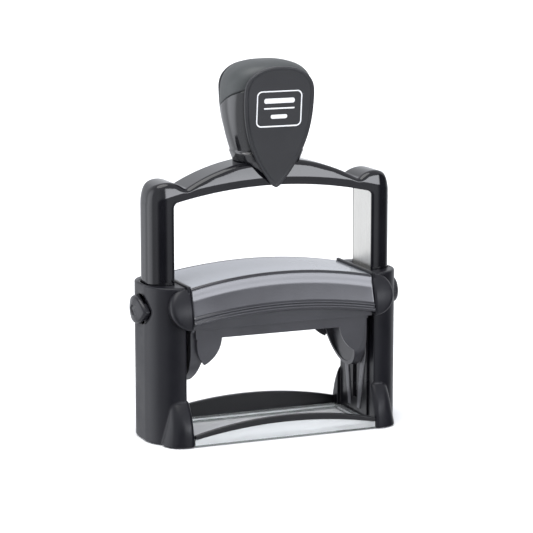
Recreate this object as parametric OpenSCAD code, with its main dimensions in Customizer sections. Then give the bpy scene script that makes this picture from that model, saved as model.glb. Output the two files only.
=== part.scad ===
// Self inking stamp, heavy duty form: two towers with a crossbeam that holds the ink cartridge,
// a spring-loaded bow with a knob, and a text plate holder that turns over as the bow goes down.
// The origin is on the floor under the middle, +X to the right, the front faces -Y, +Z is up.

/* [Frame] */
// Gap between the two towers
gap_w = 78; // [78:0.2:79]
// Height of the towers
tower_h = 61; // [60.8:0.1:61.2]
// Half depth of the towers
tower_hd = 16; // [15.8:0.1:16.2]
// How far the bow goes down
stroke = 30; // [29.8:0.1:30]

/* [Text plate] */
// Length of the text plate
die_w = 68; // [64:1:68]
// Depth of the text plate
die_d = 24; // [22:1:24]
// Height of the printing face above the pivot
die_h = 10; // [9.9:0.05:10]

/* [Bow and knob] */
// Height of the underside of the arch above the floor, in the middle
arch_z = 96.8; // [96.6:0.1:97]
// Half depth of the columns
col_hd = 8.9; // [8.7:0.1:8.9]
// Half width of the knob
knob_hw = 17.6; // [17:0.2:18.2]
// Top of the knob
knob_top = 144.5; // [144:0.5:146]

/* [Crossbeam] */
// Top of the crossbeam at its ends
beam_z = 60.6; // [60.4:0.1:60.8]
// Rise of the crossbeam's top in the middle
beam_rise = 3.9; // [3:0.1:3.9]

/* [Hidden] */
xi = gap_w/2;             // inner face of a tower
sh = xi - 39;             // shift of everything that goes with a tower
piv = stroke + die_h;     // pivot height at rest
lift = 0.3;               // underside of the towers above the floor, on the pads
e = 0.01;
$fn = 64;

black = [0.09,0.09,0.10];

// ---------- helpers ----------
// puts a shape made for the right side on the left
module left() { mirror([1,0,0]) children(); }
// extrudes an XZ outline along Y, from y0 to y1
module xz(y0, y1) { translate([0,y1,0]) rotate([90,0,0]) linear_extrude(y1-y0) children(); }
// extrudes a YZ outline along X, from x0 to x1
module yz(x0, x1) { translate([x0,0,0]) rotate([90,0,90]) linear_extrude(x1-x0) children(); }
module cx(x0, x1, y, z, r, fn=64) { translate([x0,y,z]) rotate([0,90,0]) cylinder(h=x1-x0, r=r, $fn=fn); }
module cy(y0, y1, x, z, r) { translate([x,y1,z]) rotate([90,0,0]) cylinder(h=y1-y0, r=r); }
module box(x0,x1,y0,y1,z0,z1) { translate([x0,y0,z0]) cube([x1-x0,y1-y0,z1-z0]); }
// a D with a flat at x0 and round corners of radius r about (xc, +-yc)
module dee(x0, xc, yc, r) {
  translate([x0,-yc-r]) square([xc-x0, 2*(yc+r)]);
  translate([xc-e,-yc]) square([r+e, 2*yc]);
  intersection() {
    for (s=[-1,1]) translate([xc,s*yc]) circle(r, $fn=96);
    translate([x0,-yc-r-1]) square([xc+r-x0+1, 2*(yc+r)+2]);
  }
}
// helical spring along +Z from the origin
module helix(h, rm, rw, turns, seg=14, k=6) {
  n = turns*seg;
  function ring(i) = let(a = 360*i/seg, z = rw + (h-2*rw)*i/n)
    [for (j=[0:k-1]) let(b = 360*j/k) [(rm+rw*cos(b))*cos(a), (rm+rw*cos(b))*sin(a), z+rw*sin(b)]];
  pts = [for (i=[0:n]) each ring(i)];
  side = [for (i=[0:n-1], j=[0:k-1]) let(a=i*k+j, b=i*k+(j+1)%k) each [[a,a+k,b],[b,a+k,b+k]]];
  polyhedron(points=pts, faces=concat(side, [[for (j=[0:k-1]) j]], [[for (j=[k-1:-1:0]) n*k+j]]));
}

// ---------- towers ----------
t_xc = 39.9 + sh;  t_r = 12;  t_yc = tower_hd - t_r;   // corners of a tower
c_xc = 43.2 + sh;  c_r = 7.5; c_yc = col_hd - c_r;     // corners of a column
c_x0 = 40.9 + sh;                     // inner face of a column
sp_x = 46.3 + sh;                     // axis of the return spring
btn_z = 51;                           // height of the lock button
slot_h = 1.7;                         // half width of the pivot slot
slot_z0 = piv - stroke - 1.9; slot_z1 = piv + 1.9;

module eye(hw, hh) { // lens outline in YZ
  R = (hw*hw + hh*hh)/(2*hh);
  intersection() { translate([0,R-hh]) circle(R); translate([0,hh-R]) circle(R); }
}

module tower_shell() {
  color(black) difference() {
    union() {
      translate([0,0,lift]) linear_extrude(tower_h-lift) dee(xi, t_xc, t_yc, t_r);
      // domed foot lobes in front and behind
      difference() {
        intersection() {
          translate([26.5+sh,0,4.5]) sphere(r=24.7, $fn=128);
          box(37.6+sh, 51.6+sh, -30, 30, lift, 30);
        }
        box(37+sh, xi, -15.2, 15.2, 0, 40);
      }
    }
    // leg well
    translate([0,0,2.5]) linear_extrude(tower_h) dee(40.75+sh, c_xc, c_yc, c_r+0.2);
    // seat of the lip bush
    translate([0,0,58.9]) linear_extrude(10) dee(40.0+sh, c_xc, c_yc, c_r+0.7);
    // moulded hollows beside the well
    for (s=[-1,1]) translate([0,s*12.3,0]) box(40.8+sh, 43.9+sh, -2, 2, 4, 57.6);
    // slot for the pivot pin
    box(38+sh, 41+sh, -slot_h, slot_h, slot_z0, slot_z1);
    // pocket of the lock button, with the hole for its bolt
    difference() {
      translate([0,0,btn_z]) yz(46+sh, 60) eye(8.5, 5.6);
      translate([0,0,40]) linear_extrude(22) dee(40, t_xc, t_yc, t_r-0.8);
    }
    // its ends are deeper, for the button's skirts
    difference() {
      translate([0,0,btn_z]) yz(46+sh, 60) eye(8.5, 5.6);
      box(40, 60, -5.6, 5.6, 40, 62);
      translate([0,0,40]) linear_extrude(22) dee(40, t_xc, t_yc, t_r-1.9);
    }
    cx(44+sh, 56, 6.6, btn_z, 0.95);
    // holes for the housing screws, the guide rod's foot and the pads
    for (s=[-1,1]) cx(38, 41.5+sh, s*12.3, 53, 1.15);
    translate([sp_x,0,-1]) cylinder(h=5, r=1.3);
    for (s=[-1,1]) translate([45+sh,s*11.5,lift-e]) cylinder(h=1.0, r=3.1);
    // seat for the crossbeam's end cap
    for (s=[-1,1]) box(38, 46, s>0?15.2:-17, s>0?17:-15.2, 62, 63);
  }
}
module tower_shell_right() tower_shell();
module tower_shell_left() left() tower_shell();

// cam plate: slot, two rails that taper to the foot, guide pin
module cam_plate() {
  color([0.13,0.13,0.14]) difference() {
    union() {
      box(xi-0.8, xi-0.02, -11, 11, 3, 43.5);
      yz(xi-1.3, xi-0.7) {
        polygon([[-3.0,4.5],[-5.2,4.5],[-10.4,28],[-10.4,43],[-6.2,43],[-6.2,26]]);
        polygon([[3.0,4.5],[5.2,4.5],[10.4,28],[10.4,43],[6.2,43],[6.2,26]]);
      }
      cx(xi-3.5, xi-0.5, -4, piv-stroke/2, 1.2, 32);
      cx(xi-1.3, xi-0.5, -4, piv-stroke/2, 2.0, 32);
    }
    box(30, xi+1, -slot_h, slot_h, slot_z0, slot_z1);
  }
}
module cam_plate_right() cam_plate();
module cam_plate_left() left() cam_plate();

// ---------- base ----------
win_r = 190; win_top = 6.7;                  // top edge of the window
rail_r = 152; rail_top = 9.3;                // top edge of the rail over it
module base_window() {
  color([0.86,0.93,0.95,0.5]) {
    difference() {
      union() {
        box(-37.5-sh, 37.5+sh, -20.8, 19.8, lift, 1.6);
        box(-38.9-sh, 38.9+sh, -15.0, 15.0, lift, 1.6);
      }
      box(-36.5, 36.5, -15.2, 15.2, -1, 3);
    }
    xz(-20.8, -19.5) intersection() {
      translate([-37.5-sh, lift]) square([75+2*sh, 20]);
      translate([0, win_top-win_r]) circle(win_r, $fn=128);
    }
  }
}
module base_front_rail() {
  color(black) xz(-21.3, -19.3) intersection() {
    translate([-37.5-sh, lift]) square([75+2*sh, 20]);
    difference() {
      translate([0, rail_top-rail_r]) circle(rail_r, $fn=128);
      translate([0, win_top-win_r]) circle(win_r+0.03, $fn=128);
    }
  }
}
module base_rear_bar() {
  color(black) xz(18.0, 19.8) intersection() {
    translate([-37.5-sh, 1.62]) square([75+2*sh, 20]);
    translate([0, 9.2-159]) circle(159, $fn=128);
  }
}
module rubber_feet() {
  color([0.2,0.2,0.2]) for (m=[0,1]) mirror([m,0,0]) for (s=[-1,1])
    translate([45+sh,s*11.5,0]) cylinder(h=1.2, r=3.0);
}

// ---------- crossbeam ----------
slope = 0.3;                                  // the trim leans out by this much per mm down
function ty(z) = 16.6 + slope*(beam_z - z);   // outer face of the trim
top_r = (37.6*37.6 + beam_rise*beam_rise)/(2*beam_rise);
bot_z = 46.7; bot_rise = 3.3;
bot_r = (37.6*37.6 + bot_rise*bot_rise)/(2*bot_rise);
bx = 37.5;                                    // half length of the trim

module beam_top_cover() {
  color([0.72,0.74,0.76]) intersection() {
    xz(-20, 20) difference() {
      intersection() { translate([-bx,50]) square([2*bx,20]);
        translate([0, beam_z+beam_rise-top_r]) circle(top_r, $fn=128); }
      translate([0, beam_z+beam_rise-top_r-1.3]) circle(top_r, $fn=128);
    }
    yz(-40, 40) polygon([[-ty(55)+1.1,55],[-ty(68)+1.1,68],[ty(68)-1.1,68],[ty(55)-1.1,55]]);
  }
}
module trim() {
  difference() {
    intersection() {
      union() {
        yz(-bx, bx) polygon([[-ty(70),70],[-ty(40),40],[-ty(40)+1.0,40],[-ty(70)+1.0,70]]);
        // double bead along the lower edge
        intersection() {
          yz(-bx, bx) polygon([[-ty(70)-0.5,70],[-ty(40)-0.5,40],[-ty(40)+0.5,40],[-ty(70)+0.5,70]]);
          xz(-30, 0) for (b=[0.5,2.3]) difference() {
            translate([0, bot_z+bot_rise-bot_r+b+0.9]) circle(bot_r, $fn=128);
            translate([0, bot_z+bot_rise-bot_r+b]) circle(bot_r, $fn=128);
          }
        }
      }
      xz(-30, 0) difference() {
        intersection() { translate([-bx,40]) square([2*bx,30]);
          translate([0, beam_z+beam_rise-top_r]) circle(top_r, $fn=128); }
        translate([0, bot_z+bot_rise-bot_r]) circle(bot_r, $fn=128);
      }
    }
  }
}
module trim_front() { color([0.40,0.40,0.44]) trim(); }
module trim_rear() {
  color([0.40,0.40,0.44]) difference() {
    mirror([0,1,0]) trim();
    box(-35.7, 35.7, 10, 30, 49.95, 56.85);
  }
}
module pad_housing() {
  color([0.15,0.15,0.16]) difference() {
    union() {
      // end walls with ledges for the cartridge
      for (m=[0,1]) mirror([m,0,0]) {
        box(36.8, xi-0.05, -15.0, 15.0, 44.7, 57.8);
        box(35.0, 37, -14.9, 14.9, 53.8, 55.0);
      }
      for (s=[0,1]) mirror([0,s,0]) {
        box(-37.4, 37.4, -17.3, -16.55, 44.7, 49.4);   // skirt
        box(-37.4, -34.9, -17.3, -14.9, 44.7+4.0, 49.4);
        box(34.9, 37.4, -17.3, -14.9, 44.7+4.0, 49.4);
      }
      // front wall, web to the skirt, roof
      box(-37.4, 37.4, -15.6, -14.9, 48.2, 58.5);
      box(-37.4, 37.4, -17.3, -14.9, 48.2, 49.4);
      box(-36.9, 36.9, -15.6, 14.9, 57.3, 58.5);
      box(-37.4, 37.4, 14.2, 14.9, 57.0, 58.5);
    }
    for (m=[0,1]) mirror([m,0,0]) for (s=[-1,1]) cx(36.9, 40, s*12.3, 53, 0.85);
  }
}
module ear() {
  intersection() {
    cy(-30, -15.05, 37.55+sh, 53.4, 8.5);
    translate([40+sh,-0.5,47.75]) sphere(r=20.2, $fn=96);
    box(37.55+sh, 60, -30, -12, 40, 70);
  }
}
module beam_end() {
  color(black) {
    difference() {
      for (s=[0,1]) mirror([0,s,0]) ear();
      // the tower's section, with a fine joint
      translate([0,0,40]) linear_extrude(30) dee(xi-0.03, t_xc, t_yc, t_r+0.03);
    }
    box(37.55+sh, xi-0.05, -17.2, 17.2, 58.0, tower_h+0.6);
    for (s=[-1,1]) box(37.55+sh, xi-0.05, s>0?15.1:-17.2, s>0?17.2:-15.1, 46, 58.1);
  }
}
module beam_end_right() beam_end();
module beam_end_left() left() beam_end();
module housing_screws() {
  color([0.6,0.6,0.62]) for (m=[0,1]) mirror([m,0,0]) for (s=[-1,1]) {
    cx(37.1, 41.0+sh, s*12.3, 53, 0.8);
    cx(40.9+sh, 42.3+sh, s*12.3, 53, 1.7);
  }
}
module guide_rod() {
  color([0.7,0.7,0.72]) {
    translate([sp_x,0,2.55]) cylinder(h=36.4, r=2.0);
    translate([sp_x,0,lift+0.2]) cylinder(h=2.6, r=1.25);
  }
}
module guide_rod_right() guide_rod();
module guide_rod_left() left() guide_rod();
module guide_bush() {
  color([0.07,0.07,0.08]) difference() {
    translate([0,0,58.95]) linear_extrude(tower_h-0.1-58.95) dee(40.04+sh, c_xc, c_yc, c_r+0.66);
    translate([0,0,50]) linear_extrude(20) dee(c_x0-0.15, c_xc, c_yc, c_r+0.15);
  }
}
module guide_bush_right() guide_bush();
module guide_bush_left() left() guide_bush();
spring_top = 74;
module return_spring() { color([0.75,0.75,0.77]) translate([sp_x,0,2.55]) helix(spring_top-1.0-2.6, 2.7, 0.38, 13); }
module return_spring_right() return_spring();
module return_spring_left() left() return_spring();

// ---------- bow ----------
arch_r = 173; leg_z = piv - 3.5;
module opening(g) {
  intersection() {
    translate([0, arch_z-arch_r]) circle(arch_r+g, $fn=192);
    translate([-c_x0-g, 20]) square([2*(c_x0+g), 90]);
  }
}
module bow_shell() {
  color([0.05,0.05,0.06]) difference() {
    intersection() {
      // plan of the bow
      translate([0,0,20]) linear_extrude(100) {
        translate([-c_x0-2,-col_hd]) square([2*c_x0+4, 2*col_hd]);
        for (m=[0,1]) mirror([m,0,0]) dee(c_x0-1, c_xc, c_yc, c_r);
      }
      // outline of the bow
      xz(-12, 12) difference() {
        union() {
          intersection() { translate([0,34.6]) circle(72, $fn=192); translate([-38,80]) square([76,40]); }
          for (m=[0,1]) mirror([m,0,0]) {
            translate([40+sh,95.8]) circle(4);
            translate([45.7+sh,94.8]) circle(5);
            translate([40+sh,80]) square([5.7,19.8]);
            translate([36+sh,80]) square([8,15.8]);
            translate([c_x0-1,leg_z]) square([50.7+sh-c_x0+1, 94.8-leg_z]);
          }
        }
        opening(0);
      }
    }
    xz(-col_hd+0.75, col_hd-0.75) opening(1.22);
    for (m=[0,1]) mirror([m,0,0]) {
      translate([sp_x,0,leg_z-1]) cylinder(h=spring_top-leg_z+1, r=3.25);
      cx(c_x0+1, c_x0+2.05, 0, piv, 3.05);
    }
    // hole for the knob's screw
    translate([0,0,90]) cylinder(h=30, r=2.1);
    translate([0,0,90]) cylinder(h=10.2, r=3.9);
  }
}
module bow_core() {
  color([0.85,0.85,0.82]) difference() {
    xz(-col_hd+0.8, col_hd-0.8) difference() {
      intersection() { opening(1.2); translate([-50,leg_z]) square([100,80]); }
      opening(0);
      translate([-c_x0+e, 0]) square([2*c_x0-2*e, 80]);
    }
    for (m=[0,1]) mirror([m,0,0]) cx(c_x0-2, c_x0+3, 0, piv, 3.05);
    translate([0,0,90]) cylinder(h=12, r=3.9);
  }
}
// knob: rounded sections that swell and close at the top
kz0 = 105.0; kzp = 127.3; kzm = 130;
function zp(y) = 128.9 - 0.47*y;              // parting of the grip cap, higher at the front
function kw(z) = z<kzm ? knob_hw - 5.4*pow((kzm-z)/25,1.9) : knob_hw*pow(max(0,1-pow((z-kzm)/(knob_top-kzm),3)),1/2.4);
function kd(z) = z<kzm ? 12.5-(kzm-z)*0.155 : 12.5*pow(max(0,1-pow((z-kzm)/(knob_top-kzm),6)),1/2.4);
function kpt(z,a,g) = let(c=cos(a), s=sin(a), p=2/2.7)
  [(kw(z)-g)*sign(c)*pow(abs(c),p), (kd(z)-g)*sign(s)*pow(abs(s),p), z];
module knob_solid(zs, g=0, n=40) {
  m = len(zs)-1;
  pts = [for (z=zs) for (i=[0:n-1]) kpt(z, 360*i/n+0.01, g)];
  polyhedron(points=pts, faces=concat([[for (i=[0:n-1]) i]], [[for (i=[n-1:-1:0]) m*n+i]],
    [for (k=[0:m-1], i=[0:n-1]) let(a=k*n+i, b=k*n+(i+1)%n) each [[a,a+n,b],[b,a+n,b+n]]]));
}
module knob_body() {
  color([0.06,0.06,0.07]) difference() {
    knob_solid([for (i=[0:10]) kz0+(136-kz0)*i/10]);
    yz(-30, 30) polygon([[-30,zp(-30)],[30,zp(30)],[30,160],[-30,160]]);
    // the arch's crown sits in the knob's foot
    xz(-20, 20) translate([0,34.6]) circle(72.03, $fn=192);
    translate([0,0,100]) cylinder(h=22, r=1.75);
  }
}
module knob_grip() {
  color([0.24,0.25,0.26]) difference() {
    knob_solid([for (t=[-5.5,-2.5,0,4,7,10,12.5,14.5,16.2,17.6,18.6,19.2,19.5]) kzp+0.05+t*(knob_top-0.25-kzp)/19.5]);
    yz(-30, 30) polygon([[-30,zp(-30)+0.05],[30,zp(30)+0.05],[30,90],[-30,90]]);
  }
}
// teardrop shield
sh_m = 132; sh_top = 142.8; sh_len = 37; sh_w = 14.2;
tilt = 5.6;
function tw(z) = z>sh_m ? sh_w*pow(max(0,1-pow((z-sh_m)/(sh_top-sh_m),2.4)),1/2.2)
                        : sh_w*max(0,1-pow((sh_m-z)/sh_len,2.4));
module tear(g) {
  za = [for (i=[0:12]) sh_m-sh_len+1+g+(sh_len-1-g)*i/12];
  zb = [for (i=[1:8]) sh_m+(sh_top-sh_m-g)*sin(90*i/8)];
  zz = concat(za, zb);
  polygon(concat([for (z=zz) [max(0.15,tw(z)-g), z]], [for (i=[len(zz)-1:-1:0]) [-max(0.15,tw(zz[i])-g), zz[i]]]));
}
module shield() {
  color([0.2,0.21,0.22]) translate([0,-12.75,sh_m]) rotate([tilt,0,0]) translate([0,0,-sh_m]) {
    xz(-0.9, 0) tear(0);
    xz(-1.3, -0.8) difference() { tear(0); tear(0.8); }
  }
}
module knob_shield_front() shield();
module knob_shield_rear() mirror([0,1,0]) shield();
module knob_screw() {
  color([0.65,0.65,0.66]) {
    translate([0,0,97.2]) cylinder(h=2.95, r=3.6);
    translate([0,0,100]) cylinder(h=21.5, r=1.7);
  }
}
module pivot_bearing() {
  color([0.75,0.6,0.3]) difference() {
    cx(c_x0+0.1, c_x0+2.0, 0, piv, 3.0);
    cx(c_x0-1, c_x0+3, 0, piv, 1.55);
  }
}
module pivot_bearing_right() pivot_bearing();
module pivot_bearing_left() left() pivot_bearing();
module spring_seats() {
  color([0.8,0.8,0.78]) for (m=[0,1]) mirror([m,0,0]) translate([sp_x,0,spring_top-0.95]) cylinder(h=0.9, r=3.15);
}

// ---------- text plate holder ----------
hx = 36.7;                           // half length of the holder
gw = 1.38;                           // half width of the cam groove
gy = -4;                             // the guide pin stands this far in front of the slot
// centre line of the groove in the holder's own frame, about the pivot
function q(s) = let(th=180*s/stroke, z=s-stroke/2) [gy*cos(th)+z*sin(th), -gy*sin(th)+z*cos(th)];
function dq(s) = let(a=q(s-0.05), b=q(s+0.05), d=b-a) d/norm(d);
module groove() {
  N = 60;
  L = [for (i=[0:N]) let(s=stroke*i/N, d=dq(s)) q(s)+gw*[-d[1],d[0]]];
  R = [for (i=[N:-1:0]) let(s=stroke*i/N, d=dq(s)) q(s)-gw*[-d[1],d[0]]];
  polygon(concat(L,R));
  for (s=[0,stroke]) translate(q(s)) circle(gw);
}
module arm_out(g) { // rounded arm outline in YZ about the pivot
  intersection() {
    translate([-14+g,-30]) square([28-2*g, 36-g]);
    union() { translate([0,-4]) circle(14-g, $fn=96); translate([-14+g,-4]) square([28-2*g, 12]); }
  }
}
module die_carrier() {
  color([0.27,0.27,0.29]) translate([0,0,piv]) difference() {
    union() {
      // long walls and the deck under the foam
      for (s=[-1,1]) box(-35.2, 35.2, s>0?14.7:-15.8, s>0?15.8:-14.7, 0.7, 4.4);
      box(-hx, hx, -15.0, 15.0, 3.2, 4.4);
      // frame round the foam
      difference() { box(-34.9, 34.9, -12.9, 12.9, 4, 7.2); box(-die_w/2-0.1, die_w/2+0.1, -die_d/2-0.1, die_d/2+0.1, 5.6, 9); }
      for (m=[0,1]) mirror([m,0,0]) {
        // arm plate and its rim
        // its inner edge slopes out towards the foot of the arm
        intersection() {
          union() {
            yz(34.0, hx) arm_out(0);
            yz(29.8, 34.1) difference() { arm_out(0); translate([0,-0.01]) arm_out(1.5); translate([-20,3.3]) square([40,5]); }
          }
          xz(-20, 20) polygon([[29.9,4.4],[29.9,-1],[34.2,-18.2],[hx,-18.2],[hx,4.4]]);
        }
        cx(31.5, 34.1, 0, 0, 3.4);
        // leaf of the front and rear wall
        for (s=[0,1]) mirror([0,s,0]) xz(-15.8, -14.7) intersection() {
          translate([24.5,-11]) square([10.3, 13]);
          translate([36.6,1.6]) circle(12.1);
          translate([22.8,-1.5]) circle(12);
        }
      }
    }
    // swept cam grooves
    for (m=[0,1]) mirror([m,0,0]) {
      yz(hx-1.6, hx+1) groove();
      cx(31, hx+1, 0, 0, 1.5);
    }
  }
}
module foam_backing() {
  color([0.55,0.55,0.52]) translate([0,0,piv]) box(-die_w/2, die_w/2, -die_d/2, die_d/2, 5.62, 7.6);
}
module text_rubber() {
  color([0.7,0.25,0.2]) translate([0,0,piv]) {
    box(-die_w/2+0.2, die_w/2-0.2, -die_d/2+0.2, die_d/2-0.2, 7.62, 9.0);
    // raised border and rows of plain bars
    difference() { box(-die_w/2+1.2, die_w/2-1.2, -10.9, 10.9, 8.9, die_h); box(-die_w/2+2.0, die_w/2-2.0, -10.1, 10.1, 8, die_h+1); }
    box(-26, 26, 5.2, 7.4, 8.9, die_h);
    box(-20, 20, 1.2, 3.0, 8.9, die_h);
    box(-24, 24, -3.0, -1.2, 8.9, die_h);
    box(-16, 16, -7.2, -5.4, 8.9, die_h);
  }
}
module pivot_pins() {
  color([0.75,0.75,0.77]) for (m=[0,1]) mirror([m,0,0]) cx(31.6, c_x0+1.9, 0, piv, 1.49);
}

// ---------- ink cartridge ----------
module pad_tray() {
  color([0.3,0.3,0.33]) difference() {
    union() {
      box(-34.9, 34.9, -14.6, 15.4, 50.55, 56.4);
      box(-35.6, 35.6, -14.6, 14.0, 55.2, 56.4);    // flange that runs on the ledges
      intersection() { box(-35.5, 35.5, 15.2, 30, 50.1, 56.7);
        yz(-36,36) polygon([[10,40],[ty(40),40],[ty(70),70],[10,70]]); }
    }
    box(-34.2, 34.2, -12.6, 12.6, 50, 55.2);
    // finger scoop
    intersection() { cx(-14, 14, ty(53.4)+4.6, 53.4, 6); box(-14,14,10,30,51,55.8); }
  }
}
module ink_felt() { color([0.12,0.12,0.3]) box(-34.1, 34.1, -12.5, 12.5, piv+die_h+0.3, 55.15); }

// ---------- lock buttons ----------
module lock_button() {
  color([0.07,0.07,0.08]) difference() {
    translate([0,0,btn_z]) intersection() {
      yz(44+sh, 60) eye(8.3, 5.4);
      translate([39.2+sh,0,0]) sphere(r=16, $fn=96);
    }
    translate([0,0,40]) linear_extrude(22) dee(30, t_xc, t_yc, t_r-0.55);
    intersection() {
      translate([0,0,40]) linear_extrude(22) dee(30, t_xc, t_yc, t_r+0.5);
      box(40, 60, -5.75, 5.75, 40, 62);
    }
    cx(50, 54.2+sh, 0, btn_z, 2.4);
    cx(50, 53.4+sh, 6.6, btn_z, 0.8);
    // pressed arrow
    translate([0,0,btn_z]) yz(54.55+sh, 60) { polygon([[-3.6,-1.9],[0.2,-1.9],[2.6,0],[0.2,1.9],[-3.6,1.9],[-1.4,0]]); }
  }
}
module lock_button_right() lock_button();
module lock_button_left() left() lock_button();
module lock_bolt() { color([0.7,0.7,0.72]) cx(50.6+sh, 53.3+sh, 6.6, btn_z, 0.75, 32); }
module lock_bolt_right() lock_bolt();
module lock_bolt_left() left() lock_bolt();
module button_spring() {
  color([0.75,0.75,0.77]) translate([51.15+sh,0,btn_z]) rotate([0,90,0]) helix(2.95, 1.8, 0.14, 3, 12, 5);
}
module button_spring_right() button_spring();
module button_spring_left() left() button_spring();

tower_shell_left();
tower_shell_right();
cam_plate_left();
cam_plate_right();
base_window();
base_front_rail();
base_rear_bar();
rubber_feet();
pad_housing();
beam_top_cover();
trim_front();
trim_rear();
beam_end_left();
beam_end_right();
housing_screws();
guide_rod_left();
guide_rod_right();
guide_bush_left();
guide_bush_right();
return_spring_left();
return_spring_right();
bow_shell();
bow_core();
knob_body();
knob_grip();
knob_shield_front();
knob_shield_rear();
knob_screw();
pivot_bearing_left();
pivot_bearing_right();
spring_seats();
die_carrier();
foam_backing();
text_rubber();
pivot_pins();
pad_tray();
ink_felt();
lock_button_left();
lock_button_right();
lock_bolt_left();
lock_bolt_right();
button_spring_left();
button_spring_right();
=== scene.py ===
import bpy
import math
import numpy as np
from mathutils import Matrix, Vector


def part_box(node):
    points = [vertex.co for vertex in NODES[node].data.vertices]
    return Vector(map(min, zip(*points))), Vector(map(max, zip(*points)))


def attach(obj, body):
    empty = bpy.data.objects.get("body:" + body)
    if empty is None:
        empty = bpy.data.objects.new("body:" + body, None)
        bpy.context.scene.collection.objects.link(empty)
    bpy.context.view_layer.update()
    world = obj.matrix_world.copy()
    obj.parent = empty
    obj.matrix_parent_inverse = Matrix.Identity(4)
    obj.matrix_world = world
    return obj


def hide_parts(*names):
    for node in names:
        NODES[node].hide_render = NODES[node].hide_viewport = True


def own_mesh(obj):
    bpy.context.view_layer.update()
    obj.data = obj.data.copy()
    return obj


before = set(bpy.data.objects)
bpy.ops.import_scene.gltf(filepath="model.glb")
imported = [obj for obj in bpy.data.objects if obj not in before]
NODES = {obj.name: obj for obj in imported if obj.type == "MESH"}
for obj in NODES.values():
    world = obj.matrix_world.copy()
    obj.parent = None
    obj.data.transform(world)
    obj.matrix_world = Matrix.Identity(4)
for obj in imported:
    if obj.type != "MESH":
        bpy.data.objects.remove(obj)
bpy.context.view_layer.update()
scene = bpy.context.scene
MM = 0.001

# ------------------------------------------------------------------ camera
cam_data = bpy.data.cameras.new("camera")
cam_data.sensor_width = 36.0
cam_data.lens = 159.288
cam_data.clip_start, cam_data.clip_end = 0.05, 50
cam = bpy.data.objects.new("camera", cam_data)
scene.collection.objects.link(cam)
scene.camera = cam
A, P = math.radians(22.595), math.radians(10.666)
fwd = Vector((math.sin(A) * math.cos(P), math.cos(A) * math.cos(P), -math.sin(P)))
right = Vector((math.cos(A), -math.sin(A), 0))
up = right.cross(fwd)
m = Matrix((right, up, -fwd)).transposed().to_4x4()
m.translation = Vector((-344.896, -829.335, 232.791)) * MM
cam.matrix_world = m
scene.view_settings.view_transform = "Standard"
scene.view_settings.look = "None"


# ------------------------------------------------------------------ mesh tools (everything in mm)
def new_object(name, verts, faces, smooth=True):
    me = bpy.data.meshes.new(name)
    me.from_pydata([tuple(v) for v in (np.asarray(verts, float) * MM)], [], [tuple(int(i) for i in f) for f in faces])
    me.validate()
    me.update()
    if smooth:
        me.polygons.foreach_set("use_smooth", [True] * len(me.polygons))
    ob = bpy.data.objects.new(name, me)
    scene.collection.objects.link(ob)
    return ob


def fast_object(name, verts, quads, smooth=True):
    """A mesh of quads from arrays."""
    verts = np.asarray(verts, np.float32) * MM
    quads = np.asarray(quads, np.int32)
    me = bpy.data.meshes.new(name)
    me.vertices.add(len(verts))
    me.vertices.foreach_set("co", verts.ravel())
    me.loops.add(quads.size)
    me.loops.foreach_set("vertex_index", quads.ravel())
    me.polygons.add(len(quads))
    me.polygons.foreach_set("loop_start", np.arange(0, quads.size, 4, dtype=np.int32))
    me.update(calc_edges=True)
    me.validate()
    me.polygons.foreach_set("use_smooth", [smooth] * len(me.polygons))
    ob = bpy.data.objects.new(name, me)
    scene.collection.objects.link(ob)
    return ob


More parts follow.
